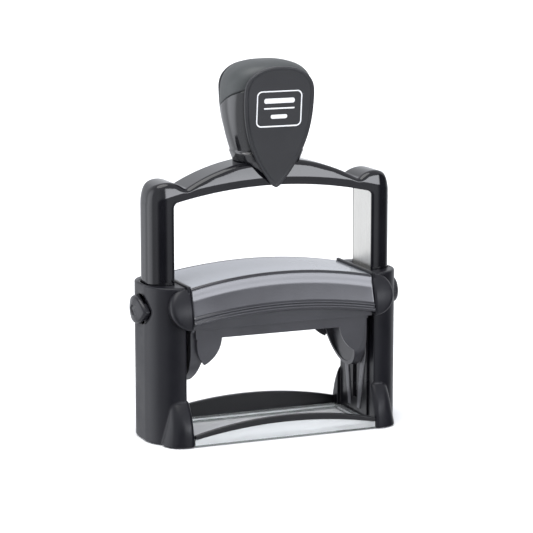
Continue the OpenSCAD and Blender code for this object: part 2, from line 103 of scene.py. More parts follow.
def nets(f, lo, hi, h, rounds=5):
    """Quads of the surface f = 0 (f < 0 inside) in the box lo..hi, with a grid of h. f takes an (n, 3) array.
    The points are then drawn onto the surface, so smooth shapes come out smooth."""
    lo, hi = np.array(lo, float), np.array(hi, float)
    n = np.maximum(2, np.ceil((hi - lo) / h).astype(int) + 1)
    ax = [lo[i] + np.arange(n[i]) * h for i in range(3)]
    X, Y, Z = np.meshgrid(*ax, indexing="ij")
    pts = np.stack([X.ravel(), Y.ravel(), Z.ravel()], 1)
    val = np.concatenate([f(pts[i:i + 600000]) for i in range(0, len(pts), 600000)]).reshape(n)
    del pts, X, Y, Z
    val = np.where(val == 0, 1e-9, val)
    neg = val < 0
    c = [neg[i:n[0] - 1 + i, j:n[1] - 1 + j, k:n[2] - 1 + k] for i in (0, 1) for j in (0, 1) for k in (0, 1)]
    some = np.logical_or.reduce(c)
    every = np.logical_and.reduce(c)
    active = some & ~every
    idx = -np.ones(active.shape, np.int64)
    ii, jj, kk = np.nonzero(active)
    idx[ii, jj, kk] = np.arange(len(ii))
    corner = np.array([(i, j, k) for i in (0, 1) for j in (0, 1) for k in (0, 1)])
    cv = np.stack([val[ii + a, jj + b, kk + d] for a, b, d in corner], 1)
    acc = np.zeros((len(ii), 3))
    cnt = np.zeros(len(ii))
    for a in range(8):
        for b in range(a + 1, 8):
            if np.abs(corner[a] - corner[b]).sum() != 1:
                continue
            va, vb = cv[:, a], cv[:, b]
            cross = (va < 0) != (vb < 0)
            t = np.where(cross, va / np.where(cross, va - vb, 1), 0)
            p = corner[a] + t[:, None] * (corner[b] - corner[a])
            acc[cross] += p[cross]
            cnt[cross] += 1
    v = lo + h * (np.stack([ii, jj, kk], 1) + acc / cnt[:, None])
    quads = []
    shape = active.shape
    for axis in range(3):
        o1, o2 = [(1, 2), (2, 0), (0, 1)][axis]
        a = neg.take(range(n[axis] - 1), axis)
        b = neg.take(range(1, n[axis]), axis)
        e = np.argwhere(a != b)
        good = (e[:, o1] > 0) & (e[:, o2] > 0) & (e[:, o1] < shape[o1]) & (e[:, o2] < shape[o2])
        e = e[good]
        flip = ~a[tuple(e.T)]
        cells = []
        for d1, d2 in ((-1, -1), (0, -1), (0, 0), (-1, 0)):
            q = e.copy()
            q[:, o1] += d1
            q[:, o2] += d2
            cells.append(idx[tuple(q.T)])
        q = np.stack(cells, 1)
        q[flip] = q[flip][:, ::-1]
        quads.append(q)
    quads = np.concatenate(quads)
    eps = h * 0.05
    base = v.copy()
    for _ in range(rounds):
        fv = f(v)
        g = np.stack([(f(v + eps * np.eye(3)[i]) - f(v - eps * np.eye(3)[i])) / (2 * eps) for i in range(3)], 1)
        step = fv / np.maximum((g * g).sum(1), 1e-6)
        v = v - np.clip(step, -0.4 * h, 0.4 * h)[:, None] * g
        d = v - base
        L = np.linalg.norm(d, axis=1)
        v = base + d * np.minimum(1, 1.1 * h / np.maximum(L, 1e-9))[:, None]
    return v, quads


def solid(name, f, lo, hi, h, rounds=5):
    v, q = nets(f, lo, hi, h, rounds)
    return fast_object(name, v, q)


def smax(a, b, r):
    """Rounded intersection with radius about r."""
    k = np.maximum(r - np.abs(a - b), 0)
    return np.maximum(a, b) + k * k / (4 * r)


def smin(a, b, r):
    return -smax(-a, -b, r)


def rmax(a, b, r):
    """Intersection whose edge is an exact arc of radius r."""
    u, w = np.maximum(a + r, 0), np.maximum(b + r, 0)
    return np.minimum(np.maximum(a, b), -r) + np.hypot(u, w)


def rmin(a, b, r):
    return -rmax(-a, -b, r)


def circ(u, w, cu, cw, r):
    return np.hypot(u - cu, w - cw) - r


def rrect(u, w, hu, hw, r):
    """Signed distance of a rounded rectangle of half sizes hu, hw."""
    a, b = np.abs(u) - (hu - r), np.abs(w) - (hw - r)
    return np.hypot(np.maximum(a, 0), np.maximum(b, 0)) + np.minimum(np.maximum(a, b), 0) - r


# ------------------------------------------------------------------ material tools
class Nodes:
    def __init__(self, mat):
        self.t = mat.node_tree
        self.n = self.t.nodes
        self.bsdf = next(x for x in self.n if x.type == "BSDF_PRINCIPLED")
        self.coord = self.n.new("ShaderNodeTexCoord")

    def link(self, a, b):
        self.t.links.new(a, b)

    def mapping(self, scale, rot=(0, 0, 0)):
        mp = self.n.new("ShaderNodeMapping")
        mp.inputs["Scale"].default_value = scale if hasattr(scale, "__len__") else (scale,) * 3
        mp.inputs["Rotation"].default_value = rot
        self.link(self.coord.outputs["Object"], mp.inputs["Vector"])
        return mp.outputs["Vector"]

    def noise(self, scale, detail=3, rough=0.5, dist=0.0):
        nz = self.n.new("ShaderNodeTexNoise")
        nz.inputs["Scale"].default_value = 1.0
        nz.inputs["Detail"].default_value = detail
        nz.inputs["Roughness"].default_value = rough
        nz.inputs["Distortion"].default_value = dist
        self.link(self.mapping(scale), nz.inputs["Vector"])
        return nz.outputs["Fac"]

    def voronoi(self, scale, feature="F1", out="Distance"):
        vo = self.n.new("ShaderNodeTexVoronoi")
        vo.feature = feature
        vo.inputs["Scale"].default_value = 1.0
        self.link(self.mapping(scale), vo.inputs["Vector"])
        return vo.outputs[out]

    def span(self, value, a0, a1, b0, b1):
        mr = self.n.new("ShaderNodeMapRange")
        for k, x in zip(("From Min", "From Max", "To Min", "To Max"), (a0, a1, b0, b1)):
            mr.inputs[k].default_value = x
        self.link(value, mr.inputs["Value"])
        return mr.outputs["Result"]

    def math(self, op, a, b):
        mt = self.n.new("ShaderNodeMath")
        mt.operation = op
        for s, x in zip(mt.inputs, (a, b)):
            if isinstance(x, (int, float)):
                s.default_value = x
            else:
                self.link(x, s)
        return mt.outputs[0]

    def mix(self, fac, c1, c2):
        mx = self.n.new("ShaderNodeMix")
        mx.data_type = "RGBA"
        self.link(fac, mx.inputs["Factor"])
        for s, x in ((mx.inputs["A"], c1), (mx.inputs["B"], c2)):
            if isinstance(x, tuple):
                s.default_value = (*x, 1)
            else:
                self.link(x, s)
        return mx.outputs["Result"]

    def bump(self, height, strength, distance_mm):
        bp = self.n.new("ShaderNodeBump")
        bp.inputs["Strength"].default_value = strength
        bp.inputs["Distance"].default_value = distance_mm * MM
        self.link(height, bp.inputs["Height"])
        self.link(bp.outputs["Normal"], self.bsdf.inputs["Normal"])
        return bp


def material(name, color, rough, metallic=0.0, spec=0.5, ior=1.5, coat=0.0, coat_rough=0.05):
    mat = bpy.data.materials.new(name)
    mat.use_nodes = True
    k = Nodes(mat)
    b = k.bsdf.inputs
    b["Base Color"].default_value = (*color, 1)
    b["Roughness"].default_value = rough
    b["Metallic"].default_value = metallic
    b["IOR"].default_value = ior
    b["Specular IOR Level"].default_value = spec
    b["Coat Weight"].default_value = coat
    b["Coat Roughness"].default_value = coat_rough
    return mat, k


def plastic(name, color, rough, spread=0.06, grain_mm=0.35, grain=0.15, depth=0.012, tone=0.12, spec=0.5, wear=0.0, **kw):
    """Moulded plastic: a fine spark-eroded grain, slow changes of tone and gloss, and a little dust."""
    mat, k = material(name, color, rough, spec=spec, **kw)
    slow = k.noise(1000 / 14.0, 3, 0.55)
    mid = k.noise(1000 / 2.2, 4, 0.6)
    fine = k.noise(1000 / grain_mm, 2, 0.6)
    lo = tuple(c * (1 - tone) for c in color)
    hi = tuple(min(1, c * (1 + tone) + 0.0015) for c in color)
    k.link(k.mix(k.span(slow, 0.3, 0.7, 0, 1), lo, hi), k.bsdf.inputs["Base Color"])
    r = k.math("ADD", k.span(slow, 0.3, 0.7, rough - spread, rough + spread), k.span(mid, 0.3, 0.7, -spread * 0.4, spread * 0.4))
    k.link(r, k.bsdf.inputs["Roughness"])
    k.bump(k.math("ADD", k.math("MULTIPLY", fine, 1.0), k.math("MULTIPLY", mid, 0.25)), grain, depth)
    return mat


def brushed(name, color, rough, axis, fine_mm=0.12, long_mm=14.0, metallic=1.0, strength=0.25, spread=0.08, depth=0.006):
    """Brushed or drawn metal: streaks along one axis."""
    mat, k = material(name, color, rough, metallic=metallic)
    sc = [1000 / fine_mm] * 3
    sc[axis] = 1000 / long_mm
    streak = k.noise(tuple(sc), 3, 0.6)
    slow = k.noise(1000 / 9.0, 3, 0.5)
    k.link(k.span(streak, 0.25, 0.75, rough - spread, rough + spread), k.bsdf.inputs["Roughness"])
    k.link(k.mix(k.span(slow, 0.3, 0.7, 0, 1), tuple(c * 0.93 for c in color), color), k.bsdf.inputs["Base Color"])
    k.bump(streak, strength, depth)
    return mat


M = {}
M["tower"] = plastic("tower_satin_black", (0.0055, 0.0055, 0.0085), 0.36, 0.05, 0.30, 0.14, 0.008, spec=0.31)
mat, k = material("cam_black_light_rails", (0.006, 0.006, 0.008), 0.30, spec=0.35)
sepx = k.n.new("ShaderNodeSeparateXYZ")
k.link(k.coord.outputs["Object"], sepx.inputs[0])
on_rail = k.math("LESS_THAN", k.math("ABSOLUTE", sepx.outputs["X"], 0.0), 0.03812)
slow = k.noise(1000 / 9.0, 3)
k.link(k.mix(on_rail, k.mix(k.span(slow, 0.3, 0.7, 0, 1), (0.005, 0.005, 0.007), (0.008, 0.008, 0.010)), (0.13, 0.13, 0.14)), k.bsdf.inputs["Base Color"])
k.link(k.span(k.noise(1000 / 2.0, 4), 0.3, 0.7, 0.26, 0.36), k.bsdf.inputs["Roughness"])
k.bump(k.noise(1000 / 0.35, 3), 0.1, 0.008)
M["cam"] = mat
M["base"] = plastic("base_satin", (0.008, 0.008, 0.0095), 0.33, 0.05, 0.35, 0.12, 0.008, spec=0.36)
M["holder"] = plastic("holder_satin", (0.036, 0.036, 0.042), 0.34, 0.05, 0.32, 0.14, 0.010, spec=0.5)
M["bow"] = plastic("bow_gloss_black", (0.0040, 0.0040, 0.0058), 0.055, 0.02, 0.9, 0.03, 0.004, spec=0.45)
M["knob"] = plastic("knob_gloss_black", (0.0055, 0.0058, 0.0075), 0.12, 0.025, 0.8, 0.04, 0.004, spec=0.9)
M["button"] = plastic("button_black", (0.006, 0.006, 0.009), 0.27, 0.04, 0.35, 0.12, 0.008, spec=0.4)
M["grip"] = plastic("grip_soft_touch", (0.045, 0.050, 0.051), 0.50, 0.05, 0.22, 0.28, 0.016, tone=0.10)
M["shield"] = plastic("shield_matte", (0.020, 0.0205, 0.0235), 0.40, 0.05, 0.20, 0.22, 0.010, tone=0.10)
M["rubber"] = plastic("foot_rubber", (0.020, 0.020, 0.020), 0.75, 0.08, 0.5, 0.35, 0.03)
M["cover"] = plastic("cover_silver_grey", (0.27, 0.285, 0.315), 0.20, 0.03, 0.25, 0.06, 0.004, tone=0.03, coat=0.25, coat_rough=0.08)
M["core"] = brushed("core_plate_nickel", (0.80, 0.79, 0.75), 0.30, 2, 0.10, 16.0, strength=0.18)
M["steel"] = brushed("drawn_steel", (0.60, 0.60, 0.61), 0.24, 2, 0.08, 5.0, strength=0.15)
M["brass"] = brushed("turned_brass", (0.70, 0.52, 0.24), 0.28, 0, 0.08, 3.0, strength=0.15)

# metallic lacquer of the trim, with fine flakes
mat, k = material("trim_gunmetal", (0.030, 0.030, 0.036), 0.13, metallic=0.35, coat=0.35, coat_rough=0.05)
flake = k.voronoi(1000 / 0.16, "F1", "Color")
bw = k.n.new("ShaderNodeRGBToBW")
k.link(flake, bw.inputs[0])
slow = k.noise(1000 / 12.0, 3, 0.5)
k.link(k.mix(k.math("MULTIPLY", bw.outputs[0], k.span(slow, 0.3, 0.7, 0.7, 1.1)), (0.026, 0.026, 0.031), (0.036, 0.036, 0.042)), k.bsdf.inputs["Base Color"])
k.link(k.span(slow, 0.3, 0.7, 0.11, 0.15), k.bsdf.inputs["Roughness"])
M["trim"] = mat

# clear acrylic of the base, faintly blue, with a few soft scuffs
mat, k = material("window_acrylic", (0.90, 0.955, 0.975), 0.02, ior=1.49)
k.bsdf.inputs["Transmission Weight"].default_value = 0.72
scuff = k.noise((1000 / 9.0, 1000 / 9.0, 1000 / 1.6), 5, 0.7, 0.6)
k.link(k.span(scuff, 0.55, 0.85, 0.012, 0.10), k.bsdf.inputs["Roughness"])
slow = k.noise(1000 / 16.0, 2, 0.5)
k.link(k.mix(k.span(slow, 0.3, 0.7, 0, 1), (0.955, 0.978, 0.985), (0.970, 0.985, 0.990)), k.bsdf.inputs["Base Color"])
k.bump(scuff, 0.02, 0.004)
sepz = k.n.new("ShaderNodeSeparateXYZ")
k.link(k.coord.outputs["Object"], sepz.inputs[0])
edge_shade_mask = k.span(sepz.outputs["Z"], 0.00075, 0.0010, 1, 0)      # painted shade: a dark grey line along the lower edge, where the clear plastic stands on the floor
clear = k.bsdf.inputs["Base Color"].links[0].from_socket
# the lowest millimetre of the window gets painted shade in place of its clear tint
k.link(k.mix(edge_shade_mask, clear, (0.16, 0.18, 0.17)), k.bsdf.inputs["Base Color"])
M["window"] = mat

# closed cell foam
mat, k = material("foam_cells", (0.52, 0.52, 0.50), 0.92, spec=0.2)
cell = k.voronoi(1000 / 0.32, "F1")
cell2 = k.voronoi(1000 / 0.13, "F1")
k.link(k.mix(k.span(cell, 0.0, 0.6, 0, 1), (0.60, 0.60, 0.57), (0.36, 0.36, 0.34)), k.bsdf.inputs["Base Color"])
k.bump(k.math("ADD", cell, k.math("MULTIPLY", cell2, 0.4)), 0.8, 0.10)
M["foam"] = mat

# stamp rubber, laser cut: soft matte with faint raster lines
mat, k = material("stamp_rubber", (0.33, 0.062, 0.045), 0.62, spec=0.35)
wv = k.n.new("ShaderNodeTexWave")
wv.inputs["Scale"].default_value = 1.0
wv.inputs["Distortion"].default_value = 0.6
k.link(k.mapping((0, 1000 / 1.1, 0)), wv.inputs["Vector"])
slow = k.noise(1000 / 5.0, 4, 0.6)
k.link(k.mix(k.span(slow, 0.3, 0.7, 0, 1), (0.29, 0.050, 0.038), (0.37, 0.075, 0.052)), k.bsdf.inputs["Base Color"])
k.bump(k.math("ADD", wv.outputs["Fac"], k.noise(1000 / 0.3, 3)), 0.3, 0.02)
M["stamp_rubber"] = mat

# felt soaked with blue-black ink: matted fibres
mat, k = material("ink_felt", (0.012, 0.012, 0.055), 0.85, spec=0.3)
k.bsdf.inputs["Sheen Weight"].default_value = 0.35
k.bsdf.inputs["Sheen Roughness"].default_value = 0.5
f1 = k.noise((1000 / 0.09, 1000 / 0.9, 1000 / 0.3), 4, 0.7, 1.2)
f2 = k.noise((1000 / 0.9, 1000 / 0.09, 1000 / 0.3), 4, 0.7, 1.2)
blot = k.noise(1000 / 7.0, 4, 0.6)
k.link(k.mix(k.span(blot, 0.35, 0.7, 0, 1), (0.008, 0.008, 0.035), (0.022, 0.024, 0.10)), k.bsdf.inputs["Base Color"])
k.bump(k.math("ADD", f1, f2), 0.9, 0.12)
M["felt"] = mat

# white print on the shield
mat, k = material("print_light", (0.78, 0.79, 0.80), 0.5)
ink = k.noise(1000 / 0.25, 4, 0.6)
k.link(k.mix(k.span(ink, 0.3, 0.75, 0, 1), (0.84, 0.85, 0.86), (0.62, 0.63, 0.65)), k.bsdf.inputs["Base Color"])
k.bump(ink, 0.1, 0.005)
M["print"] = mat


def dress(ob, mat):
    ob.data.materials.clear()
    ob.data.materials.append(mat)


def cad(node, mat, bevel=None, angle=35):
    """Keeps a CAD node, with its finish and, where it helps, a fine rounded edge."""
    ob = NODES[node]
    for i in range(len(ob.material_slots)):
        ob.material_slots[i].material = mat
    if bevel:
        w = ob.modifiers.new("weld", "WELD")
        w.merge_threshold = 1e-6
        d = ob.modifiers.new("planes", "DECIMATE")
        d.decimate_type = "DISSOLVE"
        d.angle_limit = math.radians(0.4)
        b = ob.modifiers.new("edge", "BEVEL")
        b.width = bevel * MM
        b.segments = 2
        b.limit_method = "ANGLE"
        b.angle_limit = math.radians(angle)
        b.use_clamp_overlap = True
        b.harden_normals = False
        t = ob.modifiers.new("tri", "TRIANGULATE")
        wn = ob.modifiers.new("normals", "WEIGHTED_NORMAL")
        wn.keep_sharp = False
    return ob


def piece(ob, body, mat, slot_name, *nodes):
    dress(ob, mat)
    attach(ob, body)
    if nodes:
        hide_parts(*nodes)
    return ob


# ------------------------------------------------------------------ towers
TX, TY, TR, THD, TH = 39.9, 4.0, 12.0, 16.0, 61.0      # corner centre and radius, half depth, height
CX, CY, CR = 43.2, 1.4, 7.5                             # column corner
BTN_Z = 51.0


def plan_d(x, y, xc, yc, r):
    """D in plan with round outer corners; x is positive. The flat side isn't in it."""
    a, b = x - xc, np.abs(y) - yc
    return np.hypot(np.maximum(a, 0), np.maximum(b, 0)) + np.minimum(np.maximum(a, b), 0) - r


def eye(y, z, hw, hh):
    R = (hw * hw + hh * hh) / (2 * hh)
    return np.maximum(np.hypot(y, z - (R - hh)) - R, np.hypot(y, z + (R - hh)) - R)


def f_tower(p):
    x, y, z = p[:, 0], p[:, 1], p[:, 2]
    t = plan_d(x, y, TX, TY, TR)
    body = rmax(rmax(t, z - TH, 0.7), -(x - 39.0), 0.35)
    # domed lobes at the foot, with a soft edge towards the inside
    ball = (np.sqrt(((x - 39.0) / 22.0) ** 2 + (y / 21.98) ** 2 + ((z + 1.0) / 26.0) ** 2) - 1) * 21.98
    t17 = math.radians(12)
    plan = np.hypot((x - 39.9) * math.cos(t17) + z * math.sin(t17), np.abs(y) - 13.8) - 8.3
    lobe = rmax(ball, plan, 1.6)
    lobe = rmax(lobe, 37.62 - x, 1.9)
    lobe = np.maximum(lobe, -np.maximum(np.abs(y) - 15.2, x - 39.0 - 0.6))
    f = rmin(body, lobe, 0.4)
    f = rmax(f, 0.3 - z, 0.5)
    # well of the leg and the seat of its bush
    well = np.maximum(plan_d(x, y, CX, CY, CR + 0.2), 40.75 - x)
    f = np.maximum(f, -np.maximum(well, 2.5 - z))
    seat = np.maximum(plan_d(x, y, CX, CY, CR + 0.7), 40.0 - x)
    f = np.maximum(f, -np.maximum(seat, 58.9 - z))
    # slot of the pivot pin
    slot = np.maximum(np.abs(y) - 1.7, np.abs(z - 25) - 16.9)
    f = np.maximum(f, -np.maximum(slot, x - 41.2))
    # pocket of the button, and a dished finger recess round it
    pocket = np.maximum(eye(y, z - BTN_Z, 8.5, 5.6), 46.0 - x)
    f = np.maximum(f, -np.maximum(pocket, -(t + 0.8)))
    deep = np.maximum(np.maximum(pocket, 5.6 - np.abs(y)), -(t + 1.9))
    f = np.maximum(f, -deep)
    # hole of the lock bolt
    f = np.maximum(f, -np.maximum(np.hypot(y - 6.6, z - BTN_Z) - 0.98, 44.0 - x))
    dish = eye(y, z - BTN_Z, 10.2, 6.9)
    f = rmax(f, -rmax(np.maximum(dish, 44.0 - x), -(t + 0.42 - 0.30 * np.clip(dish + 1.6, 0, 1.6)), 0.25), 0.35)
    return f


def both_sides(name, f, lo, hi, h, body_of, mat, slot_name, node, rounds=5):
    v, q = nets(f, lo, hi, h, rounds)
    for side, s in (("right", 1), ("left", -1)):
        vv = v * np.array([s, 1, 1])
        qq = q if s > 0 else q[:, ::-1]
        ob = fast_object(f"{name}_{side}", vv, qq)
        piece(ob, body_of(side), mat, slot_name, f"{node}_{side}")


both_sides("tower", f_tower, (37.0, -22.8, -0.2), (52.6, 22.8, 61.9), 0.42, lambda s: "housing", M["tower"], "tower_black", "tower_shell")


# ------------------------------------------------------------------ ends of the crossbeam
def f_ear(p):
    x, y, z = p[:, 0], np.abs(p[:, 1]), p[:, 2]
    disc = np.hypot(x - 37.55, z - 53.4) - 8.5
    ball = np.sqrt((x - 40.0) ** 2 + (y - 0.5) ** 2 + (z - 47.75) ** 2) - 20.15
    ear = rmax(rmax(disc, ball, 1.3), 37.56 - x, 0.9)
    ear = np.maximum(ear, 15.08 - y)
    ear = np.maximum(ear, -(plan_d(x, y, TX, TY, TR + 0.05)) - 1e3 * (x < 39.0))
    ear = np.maximum(ear, -np.maximum(plan_d(x, y, TX, TY, TR + 0.05), 38.97 - x))
    rib = rmax(rmax(np.abs(x - 38.25) - 0.69, y - 17.2, 0.4), np.abs(z - 59.8) - 1.78, 0.4)
    side = rmax(np.abs(x - 38.25) - 0.69, np.maximum(np.abs(y - 16.15) - 1.05, np.abs(z - 52.1) - 6.1), 0.2)
    return np.minimum(rmin(ear, side, 0.3), rib)


both_sides("beam_end", f_ear, (37.2, -21.0, 44.4), (46.6, 21.0, 62.2), 0.30, lambda s: "housing", M["tower"], "tower_black", "beam_end")


# ------------------------------------------------------------------ lock buttons
def f_button(p):
    x, y, z = p[:, 0], p[:, 1], p[:, 2] - BTN_Z
    e = eye(y, z, 8.28, 5.38)
    ball = np.sqrt((x - 39.2) ** 2 + y * y + z * z) - 15.98
    f = rmax(e, ball, 0.8)
    t = plan_d(x, y, TX, TY, TR)
    f = np.maximum(f, -(t + 0.55))
    f = np.maximum(f, -np.maximum(t - 0.5, np.abs(y) - 5.75))
    f = np.maximum(f, -np.maximum(np.hypot(y, z) - 2.4, x - 54.2))
    # pressed arrow, its point to the rear
    a = np.maximum(np.maximum(np.abs(z) - 1.9, -y - 3.4), np.maximum((y + np.abs(z) * 1.25 - 2.6) / 1.6, -(y + 3.4 - (1.9 - np.abs(z)) * 1.1) / 1.5))
    f = rmax(f, -rmax(a, 54.62 - x, 0.1), 0.18)
    return f


both_sides("lock_button", f_button, (49.6, -8.8, 45.0), (55.6, 8.8, 57.0), 0.18, lambda s: "button_" + s, M["button"], "bow_black", "lock_button")


# ------------------------------------------------------------------ bow
LEAN = math.tan(math.radians(14.0))


def lean(x, z):
    """The arch's faces lean in above a rim 2.8 mm tall that follows the opening."""
    u = np.hypot(x, z + 76.2) - 175.8
    return LEAN * (np.sqrt(u * u + 0.10) + u) / 2


def bow_opening(x, z, grow=0.0):
    return rmax(np.hypot(x, z + 76.2) - (173 + grow), x - (40.9 + grow), 1.6)


def bow_outline(x, z):
    arch = np.hypot(x, z - 34.6) - 72.0
    arch = np.maximum(arch, 86 - z)
    hump = rmax(np.hypot(x - 42.8, z - 89.8) - 10.0, x - 50.7, 3.6)
    hump = np.maximum(hump, 84 - z)
    leg = np.maximum(np.maximum(x - 50.7, 39.9 - x), z - 92.0)
    return smin(rmin(arch, hump, 0.9), leg, 0.02)


def f_bow(p):
    x, y, z = np.abs(p[:, 0]), np.abs(p[:, 1]), p[:, 2]
    ye = y + lean(x, z)
    a, b = x - CX, ye - CY
    plan = np.hypot(np.maximum(a, 0), np.maximum(b, 0)) + np.minimum(np.maximum(a, b), 0) - CR
    out = bow_outline(x, z)
    f = rmax(out, plan * 0.985, 1.7)
    op = bow_opening(x, z)
    f = np.maximum(f, 36.5 - z)
    # a fine chamfer runs round the opening
    wa, wb = 0.9, 0.30
    ch = (1 - op / wa + plan / wb) / math.hypot(1 / wa, 1 / wb)
    f = rmax(f, np.where(p[:, 1] < 0, ch, -5.0), 0.12)
    f = rmax(f, -op, 0.15)
    # recess of the core plate, bores of the springs, pockets of the bearings
    f = np.maximum(f, -np.maximum(y - 8.15, bow_opening(x, z, 1.22)))
    f = np.maximum(f, -np.maximum(np.hypot(x - 46.3, y) - 3.25, z - 74.0))
    f = np.maximum(f, -np.maximum(np.hypot(y, z - 40.0) - 3.05, np.abs(x - 42.4) - 0.6))
    return f


bow = solid("bow_arch", f_bow, (-51.4, -9.5, 35.9), (51.4, 9.5, 107.4), 0.42)
piece(bow, "bow", M["bow"], "bow_black", "bow_shell")


# ------------------------------------------------------------------ knob
def kw(z):
    lowz = 17.6 - 5.4 * np.power(np.maximum(0, 130 - z) / 25, 1.9)
    up_ = 17.6 * np.power(np.maximum(1e-6, 1 - np.power(np.clip((z - 130) / 14.35, 0, 1), 3)), 1 / 2.4)
    return np.where(z < 130, lowz, up_)


def kd(z):
    lowz = 12.5 - (130 - z) * 0.155
    up_ = 12.5 * np.power(np.maximum(1e-6, 1 - np.power(np.clip((z - 130) / 14.35, 0, 1), 6)), 1 / 2.4)
    return np.where(z < 130, lowz, up_)


def knob_side(p):
    x, y, z = np.abs(p[:, 0]), np.abs(p[:, 1]), p[:, 2]
    w, d = kw(z), kd(z)
    s = np.power(np.power(x / w, 2.7) + np.power(y / d, 2.7), 1 / 2.7)
    return (s - 1) * np.minimum(w, d) * 0.9


def tw(z):
    hi_ = 14.2 * np.power(np.maximum(1e-6, 1 - np.power(np.clip((z - 132) / 10.8, 0, 1), 2.4)), 1 / 2.2)
    lo_ = 14.2 * (1 - np.power(np.clip((132 - z) / 37, 0, 1.2), 2.4))
    return np.where(z > 132, hi_, lo_)


def shield_back(z):
    """|y| of the shield's back plane at height z."""
    return 12.75 - (132 - z) * math.tan(math.radians(5.6))


def part_z(y):
    """Height of the parting under the grip cap: it rises to the front."""
    return 128.9 - 0.47 * y


def f_knob_body(p):
    x, y, z = np.abs(p[:, 0]), np.abs(p[:, 1]), p[:, 2]
    body = np.maximum(knob_side(p), 104.2 - z)
    # foot over the arch: a saddle that narrows behind the shields
    w = np.interp(z, [95.6, 99, 103, 106, 109.5], [0.6, 4.3, 8.7, 11.9, 13.3])
    d = shield_back(z) - 0.08
    s = np.power(np.power(x / w, 3.5) + np.power(y / d, 3.5), 1 / 3.5)
    foot = np.maximum(np.maximum((s - 1) * np.minimum(w, d) * 0.85, z - 109.0), 95.8 - z)
    f = smin(body, foot, 1.3)
    # the arch is left out of it
    arch = rmax(np.hypot(x, z - 34.6) - 72.0, y + lean(x, z) - 8.9, 1.7)
    f = rmax(f, -(arch - 0.03), 0.25)
    return rmax(f, (z - part_z(p[:, 1]) + 0.05) * 0.905, 0.28)


def f_grip(p):
    f = rmax(knob_side(p), (part_z(p[:, 1]) + 0.05 - p[:, 2]) * 0.905, 0.28)
    return rmax(f, p[:, 2] - 144.2, 0.4)


kb = solid("knob_foot", f_knob_body, (-18.4, -13.4, 95.2), (18.4, 13.4, 135.8), 0.42)
piece(kb, "bow", M["knob"], "bow_black", "knob_body")
kg = solid("knob_cap", f_grip, (-18.4, -13.4, 121.9), (18.4, 13.4, 145.0), 0.45)
piece(kg, "bow", M["grip"], "grip_grey", "knob_grip")


# ------------------------------------------------------------------ shields
def f_shield(p):
    x, y, z = np.abs(p[:, 0]), p[:, 1], p[:, 2]
    w = tw(z)
    dz = 0.02
    slope = (tw(z + dz) - tw(z - dz)) / (2 * dz)
    d = (x - w) / np.sqrt(1 + np.minimum(slope * slope, 60))
    d = np.maximum(d, z - 142.8)
    d = rmax(d, 95.9 - z, 1.1)
    # slab 0 (back) to -1.3 (rim), the face sunk to -0.9 with a soft bead all round
    slab = rmax(d, y, 0.25)
    slab = rmax(slab, -1.3 - y, 0.45)
    inner = d + 1.25
    sunk = rmax(inner, y + 0.90, 0.3)
    return rmax(slab, -sunk, 0.15)


ts = math.radians(5.6)


def tilt_front(v, sgn=1):
    y, z = v[:, 1], v[:, 2] - 132
    return np.stack([v[:, 0], sgn * (-12.75 + y * math.cos(ts) - z * math.sin(ts)), 132 + y * math.sin(ts) + z * math.cos(ts)], 1)


v, q = nets(f_shield, (-14.8, -1.7, 95.2), (14.8, 0.5, 143.4), 0.28, 6)
front = fast_object("shield_front", tilt_front(v), q)
piece(front, "bow", M["shield"], "shield_grey", "knob_shield_front")
rear = fast_object("shield_rear", tilt_front(v, -1), q[:, ::-1])
piece(rear, "bow", M["shield"], "shield_grey", "knob_shield_rear")


def f_print(p):
    """A plain printed badge: a rounded outline with three bars in it. It carries no lettering."""
    x, y, z = p[:, 0], p[:, 1], p[:, 2] - 126.6
    d = np.abs(rrect(x, z, 9.3, 7.0, 2.2) + 0.27) - 0.27
    for hw, cz, hh in ((6.3, 3.1, 1.0), (6.3, 0.2, 0.3), (3.4, -3.0, 0.8)):
        d = np.minimum(d, rrect(x, z - cz, hw, hh, hh * 0.95))
    return np.maximum(d, np.abs(y + 0.75) - 0.21)       # most of it is sunk in the plate


v, q = nets(f_print, (-9.9, -1.2, 119.2), (9.9, -0.3, 134.0), 0.15, 4)
pr = fast_object("shield_badge", tilt_front(v), q, smooth=False)
piece(pr, "bow", M["print"], "shield_grey")


# ------------------------------------------------------------------ crossbeam trims
def ty(z):
    return 16.6 + 0.3 * (60.6 - z)


TOP_R = (37.6 ** 2 + 3.9 ** 2) / 7.8
BOT_R = (37.6 ** 2 + 3.3 ** 2) / 6.6


def top_z(x):
    return 60.6 + 3.9 - TOP_R + np.sqrt(TOP_R ** 2 - x * x)


def bot_z(x):
    return 46.7 + 3.3 - BOT_R + np.sqrt(BOT_R ** 2 - x * x)


